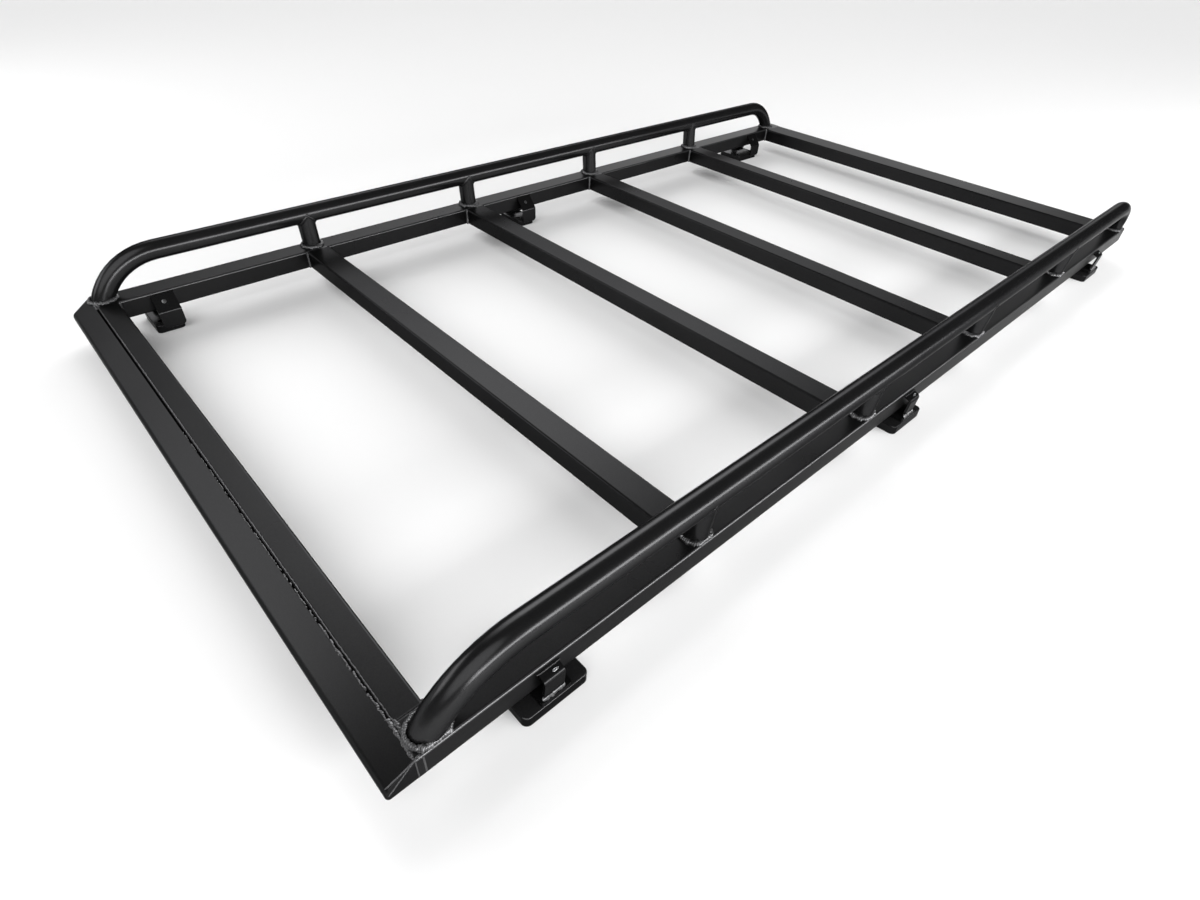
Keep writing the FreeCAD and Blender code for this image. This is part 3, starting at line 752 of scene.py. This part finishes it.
class RACK_OT_strap_screws(bpy.types.Operator):
    """Sets a zinc screw in the sloped part of each strap"""

    bl_idname = "rack.strap_screws"
    bl_label = "Strap Screws"

    def execute(self, context):
        model = screw_model()
        for hand, side in SIDES:
            made = []
            studs = []
            for number in range(1, 4):
                low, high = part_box("outer_strap_%s_%d" % (hand, number))
                middle = (low.y + high.y) / 2
                place = Vector((side * (OUTER_FACE + 0.0066), middle + 0.005, 0.0636))
                stud = basis(place, Vector((0, 1, 0)), Vector((side * 0.345, 0, 0.94)))
                studs.append(copy_of(model, stud @ Matrix.Diagonal((1.1, 0.36, 0.8, 1))))
                low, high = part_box("inner_strap_%s_%d" % (hand, number))
                middle = (low.y + high.y) / 2
                place = Vector((side * (INNER_FACE - 0.0115), middle - 0.002, 0.0586))
                made.append(copy_of(model, basis(place, Vector((0, 1, 0)), Vector((-side * 0.733, 0, 0.68)))))
            finished(joined(made), "strap_screws_" + hand, finish_material("Dark Steel"))
            finished(joined(studs), "strap_studs_" + hand, finish_material("Zinc Plate"))
        bpy.data.objects.remove(model)
        return {"FINISHED"}


def wall_level(nodes, links, sky, wall):
    """Even sky with a long bright wall on the left, from above the nose round to the back."""
    place = nodes.new("ShaderNodeTexCoord")
    parts = nodes.new("ShaderNodeSeparateXYZ")
    links.new(place.outputs["Generated"], parts.inputs["Vector"])
    across, along, up = (parts.outputs[axis] for axis in "XYZ")
    left = arithmetic(nodes, links, "MULTIPLY", across, -1.0)
    angle = arithmetic(nodes, links, "ARCTAN2", up, left)
    lower = smooth_step(nodes, links, angle, math.radians(16), math.radians(30), 0, 1)
    upper = smooth_step(nodes, links, angle, math.radians(47), math.radians(61), 1, 0)
    horizon = smooth_step(nodes, links, up, 0, 0.34, 0, 1)
    front = smooth_step(nodes, links, along, -0.2, 0.45, 0, 1)
    shape = arithmetic(nodes, links, "MULTIPLY", lower, upper)
    shape = arithmetic(nodes, links, "MULTIPLY", shape, horizon)
    shape = arithmetic(nodes, links, "MULTIPLY", shape, front)
    shape = arithmetic(nodes, links, "MULTIPLY", shape, wall)
    return arithmetic(nodes, links, "ADD", shape, sky)


def area_lamp(name, place, aim, size, power):
    """Rectangular lamp at a place, turned to a point."""
    data = bpy.data.lights.new(name, "AREA")
    data.shape = "RECTANGLE"
    data.size, data.size_y = size
    data.energy = power
    lamp = bpy.data.objects.new(name, data)
    lamp.location = place
    lamp.rotation_euler = (Vector(aim) - Vector(place)).to_track_quat("-Z", "Y").to_euler()
    lamp.visible_camera = False
    bpy.context.collection.objects.link(lamp)
    return lamp


class RACK_OT_stage(bpy.types.Operator):
    """Makes the pale floor, the soft lamps, the even sky and the camera"""

    bl_idname = "rack.stage"
    bl_label = "Studio and Camera"

    def execute(self, context):
        settings = context.scene.rack_stage
        scene = context.scene
        deselect_all()
        bpy.ops.mesh.primitive_plane_add(size=settings.floor_size, location=(0, 0, 0))
        floor = context.object
        floor.name = "studio floor"
        material = bpy.data.materials.new("Studio Floor")
        material.use_nodes = True
        nodes, links = material.node_tree.nodes, material.node_tree.links
        matt = nodes["Principled BSDF"]
        matt.inputs["Base Color"].default_value = (0.9, 0.9, 0.9, 1)
        matt.inputs["Roughness"].default_value = 1.0
        matt.inputs["Specular IOR Level"].default_value = 0.0
        floor.data.materials.append(material)

        world = bpy.data.worlds.new("Studio Sky")
        scene.world = world
        world.use_nodes = True
        nodes, links = world.node_tree.nodes, world.node_tree.links
        sky = nodes["Background"]
        sky.inputs["Color"].default_value = (1, 1, 1, 1)
        level = wall_level(nodes, links, settings.sky_level, settings.wall_level)
        links.new(level, sky.inputs["Strength"])

        # A very broad sun stands in for a softbox as wide as the studio
        data = bpy.data.lights.new("key light", "SUN")
        data.energy = settings.sun_level
        data.angle = math.radians(60)
        sun = bpy.data.objects.new("key light", data)
        sun.rotation_euler = Vector((-0.35, 0.55, -0.76)).to_track_quat("-Z", "Y").to_euler()
        context.collection.objects.link(sun)

        area_lamp(
            "side strip", (2.6, 0.6, 0.65), (0.4, 0.6, 0.15), (5.2, 0.5), settings.strip_power,
        )
        area_lamp(
            "front softbox", (-2.25, -2.85, 1.15), (0, -1.09, 0.07), (2.4, 1.1), settings.front_power,
        )

        camera = bpy.data.objects.new("camera", bpy.data.cameras.new("camera"))
        context.collection.objects.link(camera)
        camera.data.sensor_fit = "HORIZONTAL"
        camera.data.sensor_width = 36
        camera.data.lens = settings.lens
        camera.data.clip_start = 0.02
        camera.matrix_world = Matrix((
            (0.676678, -0.500954, 0.539586, 0.927336),
            (0.734930, 0.415200, -0.536178, -1.172947),
            (0.044564, 0.759378, 0.649122, 0.746955),
            (0, 0, 0, 1),
        ))
        scene.camera = camera
        scene.view_settings.view_transform = "Standard"
        return {"FINISHED"}


OPERATORS = (
    RACK_OT_coat_frame,
    RACK_OT_seam_weld,
    RACK_OT_tube_welds,
    RACK_OT_bar_welds,
    RACK_OT_foot_welds,
    RACK_OT_strap_screws,
    RACK_OT_stage,
)


class RACK_PT_panel(bpy.types.Panel):
    """Lists the settings and steps of the rack"""

    bl_idname = "RACK_PT_panel"
    bl_label = "Roof Rack"
    bl_space_type = "VIEW_3D"
    bl_region_type = "UI"
    bl_category = "Rack"

    def draw(self, context):
        layout = self.layout
        for group in (context.scene.rack_coat, context.scene.rack_weld, context.scene.rack_stage):
            box = layout.box()
            for name in group.__annotations__:
                box.prop(group, name)
        for operator in OPERATORS:
            layout.operator(operator.bl_idname)


CLASSES = (RackCoatSettings, RackWeldSettings, RackStageSettings) + OPERATORS + (RACK_PT_panel,)


def register():
    for item in CLASSES:
        bpy.utils.register_class(item)
    bpy.types.Scene.rack_coat = PointerProperty(type=RackCoatSettings)
    bpy.types.Scene.rack_weld = PointerProperty(type=RackWeldSettings)
    bpy.types.Scene.rack_stage = PointerProperty(type=RackStageSettings)


def unregister():
    del bpy.types.Scene.rack_coat
    del bpy.types.Scene.rack_weld
    del bpy.types.Scene.rack_stage
    for item in reversed(CLASSES):
        bpy.utils.unregister_class(item)


def main():
    register()
    for operator in OPERATORS:
        group, name = operator.bl_idname.split(".")
        getattr(getattr(bpy.ops, group), name)()


if __name__ == "__main__":
    main()
